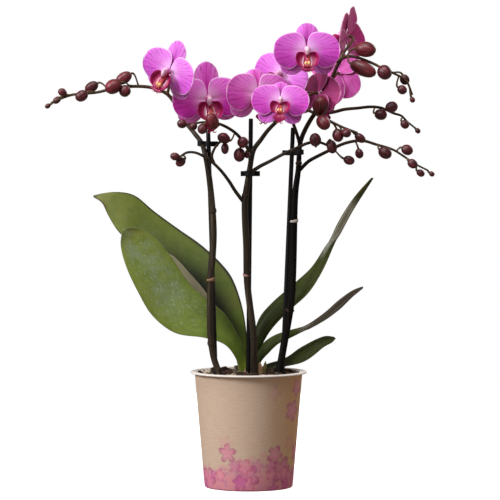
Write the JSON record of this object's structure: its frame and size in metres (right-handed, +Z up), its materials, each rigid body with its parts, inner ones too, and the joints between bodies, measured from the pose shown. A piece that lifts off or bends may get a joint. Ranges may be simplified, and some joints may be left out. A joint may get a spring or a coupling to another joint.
{
  "type": "potted moth orchid",
  "caption": "Potted moth orchid with arching flower spikes clipped to sticks, broad leaves, bark and a printed cover pot with a clear liner.",
  "frame": {"origin": "middle of the cover pot's flat base, where the pot stands", "axes": "+Z up; +X to the right and -Y towards the viewer, as in the picture"},
  "size_m": [0.2991, 0.1041, 0.3725],
  "materials": {
    "printed_card": "matt tan card with a soft pink printed pattern of blossoms",
    "clear_plastic": "thin cloudy clear plastic",
    "bark": "rough dark brown bark chips, some tan",
    "root": "matt grey-green roots",
    "crown_green": "satin yellow-green leaf bases",
    "dry_husk": "dry fibrous tan husk",
    "leaf": "waxy olive green leaf with faint dusty veins",
    "spike": "smooth near-black stem with maroon buds",
    "black_plastic": "satin black plastic",
    "petal": "velvety orchid pink with magenta veins",
    "lip": "waxy crimson magenta with a yellow middle"
  },
  "bodies": {
    "root": {"cover_pot": "printed_card", "clear_pot": "clear_plastic", "bark": "bark", "roots": "root", "crown": "crown_green", "dry_stub": "dry_husk", "leaf_left_front": "leaf", "leaf_left_back": "leaf", "leaf_right_tall": "leaf", "leaf_right_middle": "leaf", "leaf_right_low": "leaf", "spike_left": "spike", "spike_middle": "spike", "spike_right": "spike", "stick_left": "black_plastic", "stick_middle": "black_plastic", "stick_right": "black_plastic", "clip_left": "black_plastic", "clip_middle": "black_plastic", "clip_right": "black_plastic", "bloom_1_petals": "petal", "bloom_1_lip": "lip", "bloom_2_petals": "petal", "bloom_2_lip": "lip", "bloom_3_petals": "petal", "bloom_3_lip": "lip", "bloom_4_petals": "petal", "bloom_4_lip": "lip", "bloom_5_petals": "petal", "bloom_5_lip": "lip", "bloom_6_petals": "petal", "bloom_6_lip": "lip", "bloom_7_petals": "petal", "bloom_7_lip": "lip", "bloom_8_petals": "petal", "bloom_8_lip": "lip", "bloom_9_petals": "petal", "bloom_9_lip": "lip"}
  },
  "joints": []
}
